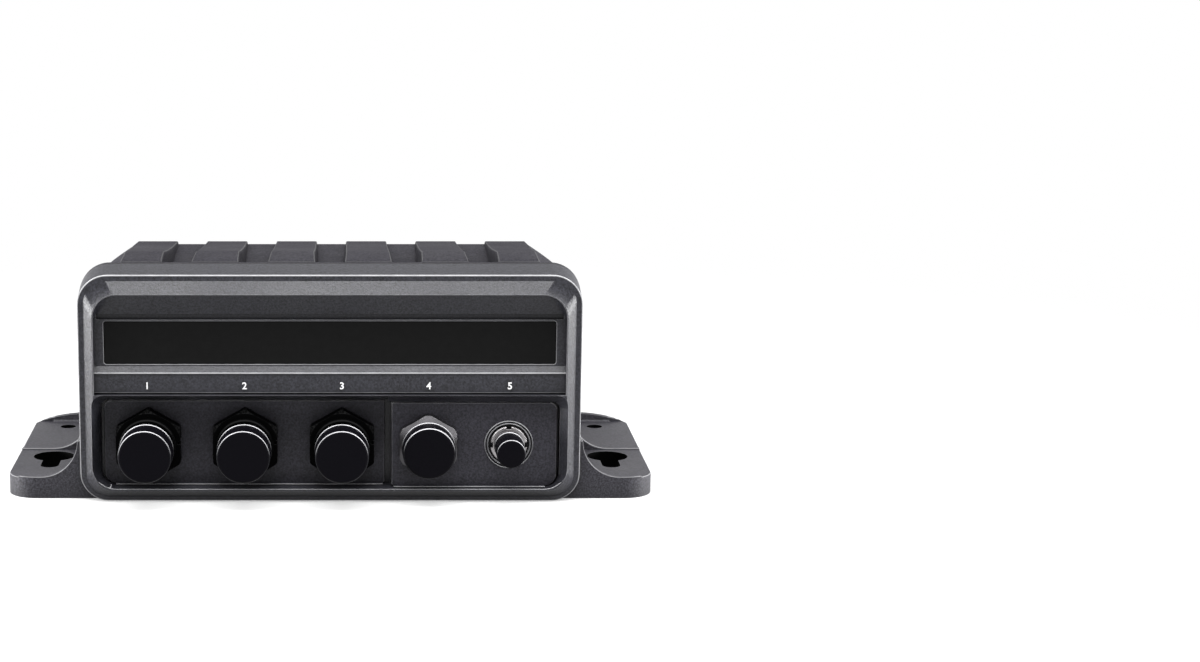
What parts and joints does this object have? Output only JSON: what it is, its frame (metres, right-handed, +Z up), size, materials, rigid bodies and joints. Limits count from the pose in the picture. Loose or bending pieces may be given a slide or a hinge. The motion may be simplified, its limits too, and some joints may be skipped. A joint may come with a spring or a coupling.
{
  "type": "vhf marine radio",
  "caption": "Black-box marine VHF transceiver: ribbed cast case with mounting feet, a front panel of capped screw sockets, and rear antenna and lead entries.",
  "frame": {"origin": "centre of the overall bounding box, on the surface that the radio stands on", "axes": "+X to the right as seen from the front, +Y to the rear, +Z up; the sockets face -Y"},
  "size_m": [0.279, 0.1718, 0.1023],
  "materials": {
    "bezel_plastic": "fine moulded grain, satin",
    "plate_plastic": "fine moulded grain, matt",
    "label_gloss": "polished",
    "cast_paint": "fine textured powder paint on die-cast alloy",
    "seal_rubber": "moulded",
    "screw_steel": "zinc plated",
    "nut_black": "moulded nylon",
    "cap_plastic": "moulded, satin",
    "nickel": "turned and nickel plated",
    "insert_plastic": "moulded",
    "contact_gold": "gold flashed",
    "ptfe": "turned",
    "board_green": "solder mask over glass laminate",
    "can_tin": "tin plated",
    "module_black": "moulded",
    "pad_grey": "filled silicone",
    "brass": "turned",
    "gland_nylon": "moulded nylon"
  },
  "bodies": {
    "case": {"antenna_coax": "module_black", "antenna_contact": "contact_gold", "antenna_insulator": "ptfe", "antenna_screws": "screw_steel", "antenna_socket": "nickel", "base_tray": "cast_paint", "bezel_gasket": "seal_rubber", "bezel_screws": "screw_steel", "board_header": "module_black", "board_screws": "screw_steel", "cover_gasket": "seal_rubber", "cover_screws": "screw_steel", "data_insert": "insert_plastic", "data_nut": "nickel", "data_pins": "contact_gold", "data_plate": "plate_plastic", "data_seal": "seal_rubber", "data_socket": "nickel", "front_bezel": "bezel_plastic", "front_board": "board_green", "gland_bodies": "gland_nylon", "gland_nuts": "gland_nylon", "gland_seals": "seal_rubber", "gps_insulator": "ptfe", "gps_pin": "contact_gold", "gps_ring": "nickel", "gps_socket": "nickel", "ground_screw": "screw_steel", "ground_washer": "screw_steel", "heat_pad": "pad_grey", "label_window": "label_gloss", "main_board": "board_green", "main_shield": "can_tin", "mic_inserts": "insert_plastic", "mic_nut_1": "nut_black", "mic_nut_2": "nut_black", "mic_nut_3": "nut_black", "mic_pins": "contact_gold", "mic_plate": "plate_plastic", "mic_seals": "seal_rubber", "mic_socket_1": "nut_black", "mic_socket_2": "nut_black", "mic_socket_3": "nut_black", "power_module": "module_black", "rf_board": "board_green", "rf_shield": "can_tin", "riser_board": "board_green", "standoffs": "brass", "top_cover": "cast_paint", "vent_plug": "gland_nylon"},
    "mic_seal_1": {"mic_liner_1": "seal_rubber"},
    "mic_cap_1": {"mic_cap_1": "cap_plastic"},
    "mic_seal_2": {"mic_liner_2": "seal_rubber"},
    "mic_cap_2": {"mic_cap_2": "cap_plastic"},
    "mic_seal_3": {"mic_liner_3": "seal_rubber"},
    "mic_cap_3": {"mic_cap_3": "cap_plastic"},
    "data_seal_disc": {"data_liner": "seal_rubber"},
    "data_cap": {"data_cap": "cap_plastic"},
    "gps_seal_disc": {"gps_liner": "seal_rubber"},
    "gps_cap": {"gps_cap": "cap_plastic"}
  },
  "joints": [
    {"name": "mic_1_cap_lift", "type": "slide", "parent": "case", "child": "mic_seal_1", "axis": [0, -1, 0], "range_m": [0, 0.0105]},
    {"name": "mic_1_cap_turn", "type": "hinge", "parent": "mic_seal_1", "child": "mic_cap_1", "pos_m": [-0.0777, -0.07935, 0.0244], "axis": [0, -1, 0], "range_deg": [0, 2520]},
    {"name": "mic_2_cap_lift", "type": "slide", "parent": "case", "child": "mic_seal_2", "axis": [0, -1, 0], "range_m": [0, 0.0105]},
    {"name": "mic_2_cap_turn", "type": "hinge", "parent": "mic_seal_2", "child": "mic_cap_2", "pos_m": [-0.0363, -0.07935, 0.0244], "axis": [0, -1, 0], "range_deg": [0, 2520]},
    {"name": "mic_3_cap_lift", "type": "slide", "parent": "case", "child": "mic_seal_3", "axis": [0, -1, 0], "range_m": [0, 0.0105]},
    {"name": "mic_3_cap_turn", "type": "hinge", "parent": "mic_seal_3", "child": "mic_cap_3", "pos_m": [0.0051, -0.07935, 0.0244], "axis": [0, -1, 0], "range_deg": [0, 2520]},
    {"name": "data_cap_lift", "type": "slide", "parent": "case", "child": "data_seal_disc", "axis": [0, -1, 0], "range_m": [0, 0.009]},
    {"name": "data_cap_turn", "type": "hinge", "parent": "data_seal_disc", "child": "data_cap", "pos_m": [0.042, -0.07435, 0.0244], "axis": [0, -1, 0], "range_deg": [0, 2160]},
    {"name": "gps_cap_lift", "type": "slide", "parent": "case", "child": "gps_seal_disc", "axis": [0, -1, 0], "range_m": [0, 0.008]},
    {"name": "gps_cap_turn", "type": "hinge", "parent": "gps_seal_disc", "child": "gps_cap", "pos_m": [0.0765, -0.07235, 0.0244], "axis": [0, -1, 0], "range_deg": [0, 2880]}
  ],
  "couplings": [
    {"joint": "mic_1_cap_turn", "follows": "mic_1_cap_lift", "rad_per_m": 4188.8},
    {"joint": "mic_2_cap_turn", "follows": "mic_2_cap_lift", "rad_per_m": 4188.8},
    {"joint": "mic_3_cap_turn", "follows": "mic_3_cap_lift", "rad_per_m": 4188.8},
    {"joint": "data_cap_turn", "follows": "data_cap_lift", "rad_per_m": 4188.8},
    {"joint": "gps_cap_turn", "follows": "gps_cap_lift", "rad_per_m": 6283.2}
  ]
}
